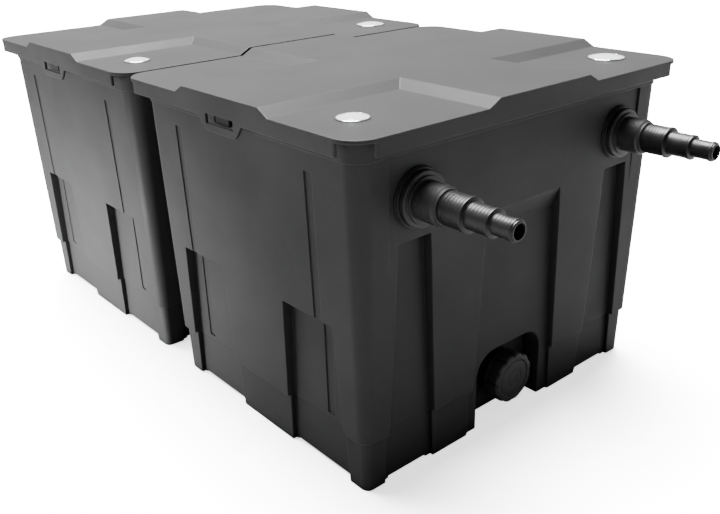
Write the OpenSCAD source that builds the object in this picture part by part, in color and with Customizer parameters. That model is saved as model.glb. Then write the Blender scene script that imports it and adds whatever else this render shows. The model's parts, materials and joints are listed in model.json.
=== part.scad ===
// Two-chamber flow-through pond filter: two moulded tubs joined by transfer pipes, lift-off lids with
// clear windows, stepped hose tails on the inlet end, screw-capped drains, and the filter media inside.
// X runs along the row of tubs (+X is the inlet end), Y across it, Z up. The origin is on the ground,
// midway between the two tubs.

/* [Lids] */
// Length of one lid along the row
lid_length = 488.8; // [470:0.2:510]
// Width of a lid across the row
lid_width = 590; // [570:1:610]
// Height of the low corner pads above the ground
lid_top_z = 452; // [450:1:456]
// Gap between the two lids
lid_gap = 6.8; // [4:0.2:12]
// Plan radius of the lid corners
lid_corner_r = 34; // [28:1:40]
// Thickness of the lid plate and skirt
lid_wall = 4; // [3:0.5:5]
// Depth of the skirt below the top of the low pads
skirt_drop = 20; // [18:1:24]
// Rise of the cross above the low pads
cross_rise = 9.5; // [6:0.5:12]
// Half width of a cross arm at the foot of its slope
cross_foot = 100; // [90:1:110]
// Half width of a cross arm at the top of its slope
cross_crown = 82; // [72:1:86]

/* [Latch] */
// Half width of the latch tab where it leaves the skirt
tab_half_top = 46; // [40:1:50]
// Half width of the latch tab at its lower edge
tab_half_low = 34; // [32:1:38]
// Reach of the latch tab below the skirt
tab_drop = 17; // [14:1:20]
// Width of the slot in the latch tab
slot_w = 60; // [50:1:62]
// Height of the slot in the latch tab
slot_h = 12; // [10:1:13]

/* [Tubs] */
// Half length of a tub wall, taken down to the ground
tub_half_x = 214.2; // [213:0.1:215]
// Half width of a tub wall, taken down to the ground
tub_half_y = 266; // [265:0.5:267]
// Outward draft of the walls for each millimetre of height
draft = 0.0215; // [0.02:0.0005:0.022]
// Corner radius of a tub at the ground
tub_corner_r = 14; // [12:1:18]
// Wall thickness of a tub
wall = 4; // [3:0.5:4.5]
// Thickness of the tub floor
floor_t = 7; // [6:0.5:9]
// Height of the inset band at the foot of a tub
band_h = 72; // [60:1:80]
// Inset of that band
band_inset = 4.5; // [3:0.5:5]
// Height of a tub's rim above the ground
rim_z = 444; // [443:0.5:444]
// Height of the underside of the proud rim band
rim_band_z = 420; // [416:1:424]

/* [Hose connections] */
// Distance of the inlet hose tails from the middle plane
inlet_y = 186.5; // [184:0.5:188]
// Height of the inlet hose tails
inlet_z = 366; // [362:1:370]
// Diameters over the sealing lips of the three hose steps, from the wall outwards
inlet_steps = [40, 32, 25]; // [24:1:42]
// Distance of the outlet pipes from the middle plane
outlet_y = 118; // [116:1:120]
// Height of the outlet pipes
outlet_z = 326; // [324:1:330]
// Outer diameters of the two outlet steps
outlet_steps = [63, 50]; // [40:1:63]
// Height of the transfer pipes between the tubs
transfer_z = 292; // [285:1:300]
// Outer diameter of a transfer pipe
transfer_d = 63; // [55:1:63]

/* [Drains] */
// Height of the drain axis
drain_z = 56; // [54:1:58]
// Outer diameter of a drain cap
drain_cap_d = 73.5; // [70:0.5:76]
// Grip scallops round a drain cap
drain_cap_lobes = 10; // [8:1:12]
// Half width of the drain alcove
alcove_half = 65; // [60:1:68]
// Height of the drain alcove
alcove_top = 110; // [106:1:114]

/* [Windows and indicators] */
// Distance of the windows from the middle of a lid along the row
window_x = 165.5; // [160:0.5:170]
// Distance of the windows from the middle plane
window_y = 229; // [226:1:232]
// Diameter of a front window dome
front_dome_d = 34; // [33:1:36]
// Diameter of a rear window dome
rear_dome_d = 46; // [44:1:48]
// Height of a window dome
dome_h = 3.5; // [3:0.5:5]
// Travel of an indicator float
float_travel = 55; // [40:1:60]

/* [Filter media] */
// Height of the media grids' upper face
grid_top = 133; // [130:1:136]
// Height of a foam block
foam_h = 160; // [140:1:165]
// Diameter of one bio ball
ball_d = 36; // [30:1:38]
// Height of a media basket
basket_h = 112; // [100:1:116]

/* [Hidden] */
$fn = 48;

charcoal = "#3c3d3e";
lid_grey = "#4a4b4c";
pipe_black = "#1d1d1e";
rubber_black = "#101011";

eps = 0.5;                                  // overshoot of a cutting solid past the face it cuts
slip = 0.15;                                // gap between pieces that are clamped together
turn_fit = 0.05;                            // radial gap of a turning or sliding fit

lid_half_x = lid_length / 2;
lid_half_y = lid_width / 2;
box_x = (lid_gap + lid_length) / 2;         // middle of each box along the row
lid_under = lid_top_z - lid_wall;           // underside of the lid plate
skirt_z = lid_top_z - skirt_drop;           // lower edge of the skirt
skirt_notch = 30;                           // the skirt stops this far from each corner
cross_hollow = 36;                          // margin left solid round the hollow under the cross
rib_gap = 1.4;                              // gap between the locating rib and the tub
rib_t = 3;
rib_depth = 8;
tab_z = skirt_z - tab_drop;                 // lower edge of the latch tab
tab_bow = 3;
tab_chamfer = 5;
slot_z = tab_z + 9.5;                       // lower edge of the latch slot
catch_half = 14;                            // half width of the tub's catch
catch_gap = 1;                              // clearance between the catch and its slot
seal_wide = 4.6;                            // width of the lid seal
seal_reach = 1;                             // the seal stands out past the rim by this

rim_band = 1.5;                             // the band at the rim stands out by this
pocket_y_floor = 256.7;                     // floor plane of the side wall pockets
pocket_y_mid = 118;                         // middle of a side wall pocket along the row
pocket_y_half = 49;
pocket_y_top = 215;
pocket_x_floor = 206.2;                     // floor plane of the end wall pockets
pocket_x_mid = 190.3;
pocket_x_half = 25.4;
pocket_x_top = 318;
pocket_draft = 0.05;                        // widening of a pocket for each millimetre down
pocket_step = 1.4;                          // the foot of a pocket's floor lies deeper by this
scoop_half = 69.5;                          // half width of the middle pocket of an end wall
scoop_foot = 286;                           // where its sloping head reaches the pocket floor
flute_x = 140;                              // shallow flutes down the side walls
flute_w = 14;
flute_depth = 1.6;
flute_top = 397;
flute_low = 78;

seat_x = 220.2;                             // upright seat that the end fittings bear on
seat_half = 229;
seat_foot = 268;                            // below this the drafted wall lies behind the seat
boss_x = 222;                               // bosses that the transfer pipes bear on
boss_back = 213;
boss_r = 43;
alcove_back = 177.2;                        // upright back wall of the drain alcove
alcove_corner_r = 34;
foot_gap = 3;                               // clearance under the tub below each pocket
foot_depth = 90;
foot_margin = 7;                            // that clearance is wider than the pocket by this

tail_hole_r = 23.2;
outlet_hole_r = 30.2;
transfer_r = transfer_d / 2;
drain_hole_r = 22.2;

gasket_t = 3;
nut_t = 12;
nut_margin = 0.2;
tail_nut_r = 31;
pipe_nut_r = 43;
drain_nut_r = 32;
tail_reach = 142;                           // reach of the hose tails beyond their seat
tail_thread_r = 23;
tail_thread_end = 26;                       // length of the thread behind the seat
tail_flange_r = 33;
tail_back_r = 34.7;                         // thin backing ring behind the flange
tail_hub_r = 27.5;
tail_bore_r = 16;
tail_collar_end = 41;
lip_h = 0.8;                                // the sealing lips stand out from the steps by this
lip_w = 3.5;
lip_ends = [80, 112, 139];                  // outer ends of the lips beyond the seat
tip_bore_r = 8.6;

outlet_reach = 143;                         // reach of the outlet pipes beyond their seat
outlet_thread_r = 30;
outlet_thread_end = 22;
outlet_flange_r = 38;
outlet_flange_t = 8;
outlet_step_end = 78;                       // end of the wider step beyond the seat
outlet_taper = 4;
pipe_wall = 4;
pipe_chamfer = 1.5;

transfer_face = box_x - boss_x;             // outer face of a boss, from the middle of the row
transfer_inner = box_x - boss_back;
transfer_wall = 3;
transfer_seal_t = 3;
transfer_flange_r = 41;
transfer_flange_t = 5;
transfer_end = 4;                           // a transfer pipe passes its lock nut by this

drain_bore_r = 19;
drain_thread_r = 22;
drain_gasket_t = 2.5;
drain_flange_r = 33;
drain_flange_t = 5;
drain_neck_r = 27;
drain_neck_end = 209.5;
cap_back = 192.2;
cap_inner = 212.5;
cap_face = 217.2;
cap_chamfer = 2;
cap_groove_r = 9;                           // the groove in the face lies this far inside the rim
scallop_r = 5;
scallop_out = 2.5;                          // centre of a scallop beyond the rim

window_base_t = 1.5;                        // thickness of the disc under a dome
window_base = 1;                            // the disc is wider than its dome by this
window_inset = 1.5;                         // the collar is narrower than its dome by this
window_bore = 3.5;                          // the collar's bore is narrower than its dome by this
window_shell = 2;
ring_w = 1.6;
ring_h = 1.6;

guide_hole_r = 11.08;
guide_r = 14;
guide_low = 236;
guide_top = 366;
guide_slot = 24;                            // pitch of the slots up a guide
arm_half = 5;
lug_x = 41.5;                               // face of the lug, from the middle of its window
lug_plate = 4;
lug_half = 8;
lug_z = 330;
lug_h = 34;
float_low = 68;                             // foot of a float below the top of its guide
float_h = 46;
stem_r = 3;
flag_h = 9;
flag_rise = 20;                             // flag above the guide with the float full down
flag_margin = 4.5;                          // a flag is narrower than its dome by this
dial_t = 6;
dial_r = 16;
dial_lip = 3;
probe_length = 150;
probe_r = 3.2;
probe_head_r = 8;
probe_head = 12;

media_x0 = -186;                            // span of the media along each box
media_x1 = 146;
media_y_gap = 6;                            // half the gap along the middle of the media
media_y1 = 234;
media_mid = (media_x0 + media_x1) / 2;
grid_x = 196;
grid_y = 246;
grid_t = 7;
grid_corner_r = 8;
grid_leg_r = 9;
grid_hole_r = 11;
foam_z = grid_top + 5;
foam_gap = 6;                               // gap between two foam blocks
foam_x = (media_x1 - media_x0 - foam_gap) / 2;
foam_y = media_y1 - media_y_gap;
foam_hole_r = 9;
puller_r = 8;
puller_plate = 4;
puller_foot = [150, 210];                   // plate under the foam
puller_head = [90, 130];                    // plate on top of the foam
puller_rise = 70;                           // grip above the top plate
grip_half = 48;
mat_t = 24;
mat_margin = 2;
basket_z = grid_top + 2 * mat_t + 3;
basket_x = media_x1 - media_x0;
basket_y = foam_y;
basket_wall = 3;
ear_half = 14;
ear_rise = 18;
pivot_z = basket_z + basket_h + ear_rise / 2;
pivot_r = 5;
slot_pitch = 28;
slot_margin = 20;                           // solid band above and below the side slots
bail_reach = 96;
bail_t = 4;
bail_eye_r = 8;
ball_gap = 1.2;

function tub_x(z) = tub_half_x + draft * z;
function tub_y(z) = tub_half_y + draft * z;

// ---- helpers ----

// Places a child in the box on the inlet side (+1) or on the outlet side (-1)
module box_frame(side) {
    translate([side * box_x, 0, 0]) children();
}

// Turns a profile of [radius, distance along +X] points about an axis along X
module turned(points) {
    rotate([0, 90, 0]) rotate_extrude($fn = 72) polygon(points);
}

// Extrudes a polygon of [x, z] points across the row between two y values
module across(points, y0, y1) {
    translate([0, y1, 0]) rotate([90, 0, 0]) linear_extrude(y1 - y0) polygon(points);
}

// Extrudes a polygon of [y, z] points along the row between two x values
module along(points, x0, x1) {
    translate([x0, 0, 0]) rotate([90, 0, 90]) linear_extrude(x1 - x0) polygon(points);
}

// Block with rounded corners whose walls lean out with height; half sizes and radius are at z = 0
module drafted_block(half_x, half_y, r, z0, z1) {
    mid_x = half_x - r;
    mid_y = half_y - r;
    across([[-half_x - draft * z0, z0], [half_x + draft * z0, z0],
            [half_x + draft * z1, z1], [-half_x - draft * z1, z1]], -mid_y, mid_y);
    along([[-half_y - draft * z0, z0], [half_y + draft * z0, z0],
           [half_y + draft * z1, z1], [-half_y - draft * z1, z1]], -mid_x, mid_x);
    for (sx = [-1, 1], sy = [-1, 1])
        translate([sx * mid_x, sy * mid_y, z0])
            cylinder(h = z1 - z0, r1 = r + draft * z0, r2 = r + draft * z1);
}

// Upright plate with rounded corners
module rounded_plate(half_x, half_y, r, z0, z1) {
    translate([0, 0, z0]) linear_extrude(z1 - z0) {
        square([2 * half_x, 2 * (half_y - r)], center = true);
        square([2 * (half_x - r), 2 * half_y], center = true);
        for (sx = [-1, 1], sy = [-1, 1])
            translate([sx * (half_x - r), sy * (half_y - r)]) circle(r);
    }
}

// Flat ring of one thickness round an axis along X
module ring_x(x0, x1, r_out, r_in) {
    turned([[r_in, x0], [r_out, x0], [r_out, x1], [r_in, x1]]);
}

// Six-sided nut on an axis along X
module hex_nut(x0, r_out, r_in) {
    difference() {
        translate([x0, 0, 0]) rotate([0, 90, 0]) cylinder(h = nut_t, r = r_out, $fn = 6);
        translate([x0 - eps, 0, 0]) rotate([0, 90, 0]) cylinder(h = nut_t + 2 * eps, r = r_in);
    }
}

// Draws a child and its mirror image across the middle plane
module both_y() {
    children();
    mirror([0, 1, 0]) children();
}

// Draws a child and its mirror image along the row
module both_x() {
    children();
    mirror([1, 0, 0]) children();
}

// ---- tubs ----

// Trapezoid that is widest at the ground and cut off at a height, grown on every side by g
function pocket_outline(mid, half, top, clip, g) = let (
    foot = half + pocket_draft * top + g, head = half + pocket_draft * (top - clip) + g) [
    [mid - foot, -eps], [mid + foot, -eps], [mid + head, clip + g], [mid - head, clip + g]];

// Everything pressed into the outside of the walls; g grows it to leave the wall behind it
module wall_pockets(g) {
    for (sx = [-1, 1], layer = [[pocket_y_top, 0], [band_h, pocket_step]])
        both_y()
            across(pocket_outline(sx * pocket_y_mid, pocket_y_half, pocket_y_top, layer[0], g),
                   pocket_y_floor - layer[1] - g, lid_half_y);
    for (sy = [-1, 1], layer = [[pocket_x_top, 0], [band_h, pocket_step]])
        both_x()
            along(pocket_outline(sy * pocket_x_mid, pocket_x_half, pocket_x_top, layer[0], g),
                  pocket_x_floor - layer[1] - g, lid_half_x);
    intersection() {
        along(pocket_outline(0, scoop_half, pocket_x_top, pocket_x_top, g),
              pocket_x_floor - g, lid_half_x);
        across([[pocket_x_floor - g, -eps], [lid_half_x, -eps], [lid_half_x, pocket_x_top + g],
                [tub_x(pocket_x_top) - g, pocket_x_top + g], [pocket_x_floor - g, scoop_foot]],
               -lid_half_y, lid_half_y);
    }
    along([[-seat_half - g, seat_foot], [seat_half + g, seat_foot],
           [seat_half + g, rim_band_z], [-seat_half - g, rim_band_z]], seat_x - g, lid_half_x);
    alcove(g);
}

// Rounded opening low in the end wall, where the drain sits
module alcove(g) {
    r = alcove_corner_r + g;
    half = alcove_half + g;
    translate([alcove_back - g, 0, 0]) rotate([90, 0, 90]) linear_extrude(lid_half_x - alcove_back) {
        translate([-half, -eps]) square([2 * half, alcove_top + g - r + eps]);
        translate([r - half, 0]) square([2 * (half - r), alcove_top + g]);
        for (sy = [-1, 1])
            translate([sy * (half - r), alcove_top + g - r]) circle(r);
    }
}

module tub_shell() {
    inner_r = tub_corner_r - wall;
    difference() {
        union() {
            drafted_block(tub_half_x, tub_half_y, tub_corner_r, band_h, rim_z);
            drafted_block(tub_half_x - band_inset, tub_half_y - band_inset,
                          tub_corner_r - band_inset, 0, band_h);
            drafted_block(tub_half_x + rim_band, tub_half_y + rim_band, tub_corner_r + rim_band,
                          rim_band_z, rim_z);
        }
        difference() {
            union() {
                drafted_block(tub_half_x - wall, tub_half_y - wall, inner_r, band_h + wall, rim_z + eps);
                drafted_block(tub_half_x - wall - band_inset, tub_half_y - wall - band_inset,
                              inner_r - band_inset, floor_t, band_h + wall);
            }
            wall_pockets(wall);
        }
        wall_pockets(0);
        side_flutes();
        foot_clearance();
    }
    both_y()
        across([[-catch_half, slot_z + catch_gap], [catch_half, slot_z + catch_gap],
                [catch_half, slot_z + slot_h - catch_gap], [-catch_half, slot_z + slot_h - catch_gap]],
               tub_y(slot_z) - eps, lid_half_y - lid_wall - eps);
}

// Shallow flutes down the side walls, which run on down the floors of the pockets
module side_flutes() {
    pocket_flute_y = pocket_y_floor - flute_depth;
    for (sx = [-1, 1])
        both_y() {
            along([[tub_y(flute_low) - flute_depth, flute_low], [lid_half_y, flute_low],
                   [lid_half_y, flute_top], [tub_y(flute_top) - flute_depth, flute_top]],
                  sx * flute_x - flute_w / 2, sx * flute_x + flute_w / 2);
            along([[pocket_flute_y, flute_low], [lid_half_y, flute_low],
                   [lid_half_y, pocket_y_top], [pocket_flute_y, pocket_y_top]],
                  sx * flute_x - flute_w / 2, sx * flute_x + flute_w / 2);
        }
}

// Low clearance at the ground below each pocket, which leaves the tub on its corners and lands
module foot_clearance() {
    for (sx = [-1, 1], sy = [-1, 1]) {
        translate([sx * pocket_y_mid, sy * tub_half_y, 0])
            cube([2 * (pocket_y_half + foot_margin), foot_depth, 2 * foot_gap], center = true);
        translate([sx * tub_half_x, sy * pocket_x_mid, 0])
            cube([foot_depth, 2 * (pocket_x_half + foot_margin), 2 * foot_gap], center = true);
    }
}

// Lug inside the wall that carries an indicator guide
module guide_lug(sy) {
    translate([window_x + lug_x, sy * window_y - lug_half, lug_z])
        cube([tub_x(lug_z) - wall / 2 - window_x - lug_x, 2 * lug_half, lug_h]);
}

module inlet_tub() {
    color(charcoal) box_frame(1) {
        difference() {
            tub_shell();
            for (sy = [-1, 1])
                translate([0, sy * inlet_y, inlet_z])
                    ring_hole(seat_x - wall - eps, seat_x + eps, tail_hole_r);
            ring_hole_at_drain();
            transfer_holes();
        }
        transfer_bosses();
        for (sy = [-1, 1]) guide_lug(sy);
    }
}

module outlet_tub() {
    color(charcoal) box_frame(-1) {
        rotate([0, 0, 180]) {
            difference() {
                tub_shell();
                for (sy = [-1, 1])
                    translate([0, sy * outlet_y, outlet_z])
                        ring_hole(seat_x - wall - eps, seat_x + eps, outlet_hole_r);
                ring_hole_at_drain();
                transfer_holes();
            }
            transfer_bosses();
        }
        guide_lug(1);
    }
}

// Round hole along X between two x values
module ring_hole(x0, x1, r) {
    translate([x0, 0, 0]) rotate([0, 90, 0]) cylinder(h = x1 - x0, r = r, $fn = 72);
}

module ring_hole_at_drain() {
    translate([0, 0, drain_z]) ring_hole(alcove_back - wall - eps, alcove_back + eps, drain_hole_r);
}

module transfer_holes() {
    for (sy = [-1, 1])
        translate([0, sy * outlet_y, transfer_z]) ring_hole(-boss_x - eps, -boss_back + eps, boss_r - 1);
}

module transfer_bosses() {
    for (sy = [-1, 1])
        translate([0, sy * outlet_y, transfer_z])
            ring_x(-boss_x, -boss_back, boss_r, transfer_r + nut_margin);
}

// ---- lids ----

module lid_body() {
    difference() {
        union() {
            rounded_plate(lid_half_x, lid_half_y, lid_corner_r, skirt_z, lid_top_z);
            intersection() {
                union() {
                    along(cross_profile(0), -lid_half_x, lid_half_x);
                    across(cross_profile(0), -lid_half_y, lid_half_y);
                }
                rounded_plate(lid_half_x, lid_half_y, lid_corner_r, skirt_z, lid_top_z + cross_rise);
            }
        }
        rounded_plate(lid_half_x - lid_wall, lid_half_y - lid_wall, lid_corner_r - lid_wall,
                      skirt_z - eps, lid_under);
        intersection() {
            union() {
                along(cross_profile(lid_wall), -lid_half_x, lid_half_x);
                across(cross_profile(lid_wall), -lid_half_y, lid_half_y);
            }
            rounded_plate(lid_half_x - cross_hollow, lid_half_y - cross_hollow, tub_corner_r,
                          skirt_z, lid_top_z + cross_rise);
        }
        for (sx = [-1, 1], sy = [-1, 1])
            translate([sx * lid_half_x, sy * lid_half_y, skirt_z])
                cube([2 * skirt_notch, 2 * skirt_notch, 2 * (lid_under - skirt_z - 1)], center = true);
        for (sy = [-1, 1])
            translate([window_x, sy * window_y, lid_under - eps])
                cylinder(h = lid_wall + 2 * eps, r = dome_r(sy) - window_inset);
    }
    locating_rib();
    both_y() latch_tab();
}

function cross_profile(g) = [
    [-cross_foot + g, lid_under - eps], [cross_foot - g, lid_under - eps],
    [cross_foot - g, lid_top_z - g], [cross_crown - g, lid_top_z + cross_rise - g],
    [-cross_crown + g, lid_top_z + cross_rise - g], [-cross_foot + g, lid_top_z - g]];

// Rib under the lid that drops inside the tub's rim
module locating_rib() {
    rib_x = tub_x(rim_z) - wall - rib_gap;
    rib_y = tub_y(rim_z) - wall - rib_gap;
    difference() {
        rounded_plate(rib_x, rib_y, tub_corner_r + 2, rim_z - rib_depth, lid_under + eps);
        rounded_plate(rib_x - rib_t, rib_y - rib_t, tub_corner_r - 1, rim_z - rib_depth - eps,
                      lid_under + 1);
    }
}

// Tab that hangs from the skirt over the catch of the tub
module latch_tab() {
    bow = tab_half_low + tab_bow;
    foot = tab_half_low - tab_bow;
    across([[-tab_half_top, skirt_z], [tab_half_top, skirt_z], [bow, tab_z + tab_chamfer],
            [foot, tab_z], [-foot, tab_z], [-bow, tab_z + tab_chamfer]],
           lid_half_y - lid_wall, lid_half_y);
}

// Slot that shows the catch, running from the tab up into the skirt
module latch_slot() {
    across([[-slot_w / 2, slot_z], [slot_w / 2, slot_z],
            [slot_w / 2, slot_z + slot_h], [-slot_w / 2, slot_z + slot_h]],
           lid_half_y - lid_wall - eps, lid_half_y + eps);
}

module slotted_lid() {
    difference() {
        lid_body();
        both_y() latch_slot();
    }
}

module inlet_lid() { color(lid_grey) box_frame(1) slotted_lid(); }

module outlet_lid() { color(lid_grey) box_frame(-1) slotted_lid(); }

// Soft ring between the rim of a tub and the underside of its lid
module lid_seal() {
    seal_x = tub_x(rim_z) + seal_reach;
    seal_y = tub_y(rim_z) + seal_reach;
    seal_r = tub_corner_r + draft * rim_z;
    difference() {
        rounded_plate(seal_x, seal_y, seal_r, rim_z + 2 * slip, lid_under);
        rounded_plate(seal_x - seal_wide, seal_y - seal_wide, seal_r - seal_wide, rim_z, lid_under + eps);
    }
}

module inlet_lid_seal() { color(rubber_black) box_frame(1) lid_seal(); }

module outlet_lid_seal() { color(rubber_black) box_frame(-1) lid_seal(); }

// ---- windows, indicators and thermometer ----

function dome_r(sy) = (sy < 0 ? front_dome_d : rear_dome_d) / 2;

module window_dome(side, sy) {
    r = dome_r(sy);
    base_z = lid_top_z + window_base_t;
    ball_r = (r * r + dome_h * dome_h) / (2 * dome_h);
    color("#e6ecee") box_frame(side) translate([window_x, sy * window_y, 0]) {
        difference() {
            intersection() {
                translate([0, 0, base_z + dome_h - ball_r]) sphere(ball_r, $fn = 96);
                translate([0, 0, base_z]) cylinder(h = dome_h + eps, r = r);
            }
            translate([0, 0, base_z + dome_h - ball_r]) sphere(ball_r - window_shell, $fn = 96);
        }
        difference() {
            union() {
                translate([0, 0, lid_top_z]) cylinder(h = window_base_t, r = r + window_base);
                translate([0, 0, lid_under - 1]) cylinder(h = lid_wall + 1, r = r - window_inset - slip);
            }
            translate([0, 0, lid_under - 2]) cylinder(h = 2 * lid_wall, r = r - window_bore);
        }
    }
}

module window_rings(side) {
    color("#b9bcbe") box_frame(side)
        for (sy = [-1, 1])
            translate([window_x, sy * window_y, lid_top_z]) rotate_extrude()
                let (r = dome_r(sy) + window_base)
                    polygon([[r + slip, 0], [r + ring_w, 0], [r + 0.8 * ring_w, 0.8 * ring_h],
                             [r + slip, ring_h]]);
}

module inlet_window_front() { window_dome(1, -1); }

module inlet_window_rear() { window_dome(1, 1); }

module outlet_window_front() { window_dome(-1, -1); }

module outlet_window_rear() { window_dome(-1, 1); }

module inlet_window_rings() { window_rings(1); }

module outlet_window_rings() { window_rings(-1); }

// Float, stem and flag that rise and fall together in their guide
module indicator_float(side, sy, shade) {
    flag_z = guide_top + float_travel + flag_rise;
    float_z = guide_top - float_low;
    color(shade) box_frame(side) translate([window_x, sy * window_y, 0]) {
        translate([0, 0, float_z]) cylinder(h = float_h, r = guide_hole_r - turn_fit);
        translate([0, 0, float_z + float_h - 1]) cylinder(h = flag_z - float_z - float_h + 2, r = stem_r);
        translate([0, 0, flag_z]) cylinder(h = flag_h, r = dome_r(sy) - flag_margin);
    }
}

module dirt_indicator_float() { indicator_float(1, -1, "#c02018"); }

module flow_indicator_float() { indicator_float(1, 1, "#dcdedf"); }

module level_indicator_float() { indicator_float(-1, 1, "#e7e4d2"); }

// Guide tube on an arm that bears on a lug of the tub
module indicator_guide(side, sy) {
    color(pipe_black) box_frame(side) translate([window_x, sy * window_y, 0])
        difference() {
            union() {
                translate([0, 0, guide_low]) cylinder(h = guide_top - guide_low, r = guide_r);
                translate([0, -arm_half, lug_z + 3]) cube([lug_x, 2 * arm_half, lug_h - 6]);
                translate([lug_x - lug_plate, -lug_half, lug_z]) cube([lug_plate, 2 * lug_half, lug_h]);
            }
            translate([0, 0, guide_low - eps])
                cylinder(h = guide_top - guide_low + 2 * eps, r = guide_hole_r);
            for (k = [0.6, 1.6, 2.6])
                translate([0, 0, guide_low + k * guide_slot])
                    cube([3 * guide_r, guide_slot / 3, guide_slot / 2], center = true);
        }
}

module dirt_indicator_guide() { indicator_guide(1, -1); }

module flow_indicator_guide() { indicator_guide(1, 1); }

module level_indicator_guide() { indicator_guide(-1, 1); }

// Dial held against the lower end of a window's collar, with a raised dark ring round its face
module thermometer_dial() {
    ring_out = dome_r(-1) - window_bore - slip;
    face = dial_t + 1;
    color("#f2f2ee") box_frame(-1) translate([window_x, -window_y, lid_under - face])
        rotate_extrude()
            polygon([[0, 0], [dial_r, 0], [dial_r, dial_t - slip], [ring_out, dial_t - slip],
                     [ring_out, dial_t + dial_lip], [0.75 * ring_out, face], [0, face]]);
}

module thermometer_probe() {
    color("#c9ccce") box_frame(-1)
        translate([window_x, -window_y, lid_under - 1 - dial_t - probe_length]) {
            cylinder(h = probe_length, r = probe_r);
            translate([0, 0, probe_length - probe_head]) cylinder(h = probe_head, r = probe_head_r);
        }
}

// ---- hose tails, outlet pipes and transfer pipes ----

// Backing ring, flange, hub and collar, then three steps that each end in a sealing lip
module hose_tail(sy) {
    r = [for (d = inlet_steps) d / 2];
    back = gasket_t + 2.5;
    flange = back + 1.5;
    hub = flange + 6;
    collar = hub + 3;
    neck = tail_collar_end + 3;
    groove = neck + 2.5;
    color(pipe_black) box_frame(1) translate([seat_x, sy * inlet_y, inlet_z])
        turned([
            [tail_bore_r, -tail_thread_end], [tail_thread_r, -tail_thread_end],
            [tail_thread_r, gasket_t], [tail_back_r, gasket_t], [tail_back_r, back],
            [tail_flange_r - 1.5, back], [tail_flange_r - 1.5, flange], [tail_flange_r, flange],
            [tail_flange_r, hub - 1], [tail_flange_r - 1, hub], [tail_hub_r, hub],
            [tail_hub_r, collar], [tail_thread_r, collar], [tail_thread_r, tail_collar_end],
            [r[0] + 0.6, neck], [r[0] + 0.6, groove], [r[0] - 2.5, groove], [r[0] - 2.5, groove + 1.5],
            [r[0] - lip_h, groove + 1.5],
            for (k = [0 : 2]) each [
                [r[k] - lip_h, lip_ends[k] - lip_w - lip_h], [r[k], lip_ends[k] - lip_w],
                [r[k], lip_ends[k]], [(k < 2 ? r[k + 1] : r[2]) - lip_h, lip_ends[k] + (k < 2 ? 0 : 2)]],
            [r[2] - lip_h, tail_reach - 1], [r[2] - lip_h - 1, tail_reach], [tip_bore_r, tail_reach],
            [tip_bore_r, lip_ends[1] - 6], [r[1] - lip_h - pipe_wall + 1, lip_ends[1] - 9],
            [r[1] - lip_h - pipe_wall + 1, lip_ends[0] - 6], [tail_bore_r - 2, lip_ends[0] - 12],
            [tail_bore_r - 2, neck], [tail_bore_r, neck - 4]]);
}

module inlet_hose_tail_front() { hose_tail(-1); }

module inlet_hose_tail_rear() { hose_tail(1); }

module inlet_tail_gaskets() {
    color(rubber_black) box_frame(1)
        for (sy = [-1, 1])
            translate([seat_x, sy * inlet_y, inlet_z])
                ring_x(0, gasket_t, tail_back_r + 1, tail_thread_r + slip);
}

module inlet_tail_lock_nuts() {
    color(pipe_black) box_frame(1)
        for (sy = [-1, 1])
            translate([0, sy * inlet_y, inlet_z])
                hex_nut(seat_x - wall - nut_t, tail_nut_r, tail_thread_r + slip);
}

module outlet_pipe(sy) {
    r = [for (d = outlet_steps) d / 2];
    face = gasket_t + outlet_flange_t;
    color(pipe_black) box_frame(-1) rotate([0, 0, 180])
        translate([seat_x, sy * outlet_y, outlet_z])
            turned([
                [r[1] - pipe_wall, -outlet_thread_end], [outlet_thread_r, -outlet_thread_end],
                [outlet_thread_r, gasket_t], [outlet_flange_r, gasket_t],
                [outlet_flange_r, face - pipe_chamfer], [outlet_flange_r - pipe_chamfer, face],
                [r[0], face], [r[0], outlet_step_end], [r[1], outlet_step_end + outlet_taper],
                [r[1], outlet_reach - pipe_chamfer], [r[1] - pipe_chamfer, outlet_reach],
                [r[1] - pipe_wall, outlet_reach]]);
}

module outlet_pipe_front() { outlet_pipe(1); }

module outlet_pipe_rear() { outlet_pipe(-1); }

module outlet_pipe_gaskets() {
    color(rubber_black) box_frame(-1) rotate([0, 0, 180])
        for (sy = [-1, 1])
            translate([seat_x, sy * outlet_y, outlet_z])
                ring_x(0, gasket_t, outlet_flange_r + 1, outlet_thread_r + slip);
}

module outlet_pipe_lock_nuts() {
    color(pipe_black) box_frame(-1) rotate([0, 0, 180])
        for (sy = [-1, 1])
            translate([0, sy * outlet_y, outlet_z])
                hex_nut(seat_x - wall - nut_t, pipe_nut_r, outlet_thread_r + slip);
}

module transfer_pipe(sy) {
    inside = transfer_r - transfer_wall;
    reach = transfer_inner + nut_t + transfer_end;
    flange_x = transfer_face - transfer_seal_t;
    back = flange_x - transfer_flange_t;
    color(pipe_black) translate([0, sy * outlet_y, transfer_z])
        turned([
            [inside, -reach], [transfer_r, -reach], [transfer_r, -flange_x],
            [transfer_flange_r, -flange_x], [transfer_flange_r, -back], [transfer_r, -back],
            [transfer_r, back], [transfer_flange_r, back], [transfer_flange_r, flange_x],
            [transfer_r, flange_x], [transfer_r, reach], [inside, reach]]);
}

module transfer_pipe_front() { transfer_pipe(-1); }

module transfer_pipe_rear() { transfer_pipe(1); }

module transfer_pipe_seals() {
    color(rubber_black)
        for (sy = [-1, 1])
            both_x() translate([0, sy * outlet_y, transfer_z])
                ring_x(transfer_face - transfer_seal_t, transfer_face, transfer_flange_r + eps,
                       transfer_r + slip);
}

module transfer_pipe_lock_nuts() {
    color(pipe_black)
        for (sy = [-1, 1])
            both_x() translate([0, sy * outlet_y, transfer_z])
                hex_nut(transfer_inner, pipe_nut_r, transfer_r + slip);
}

// ---- drains ----

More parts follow.
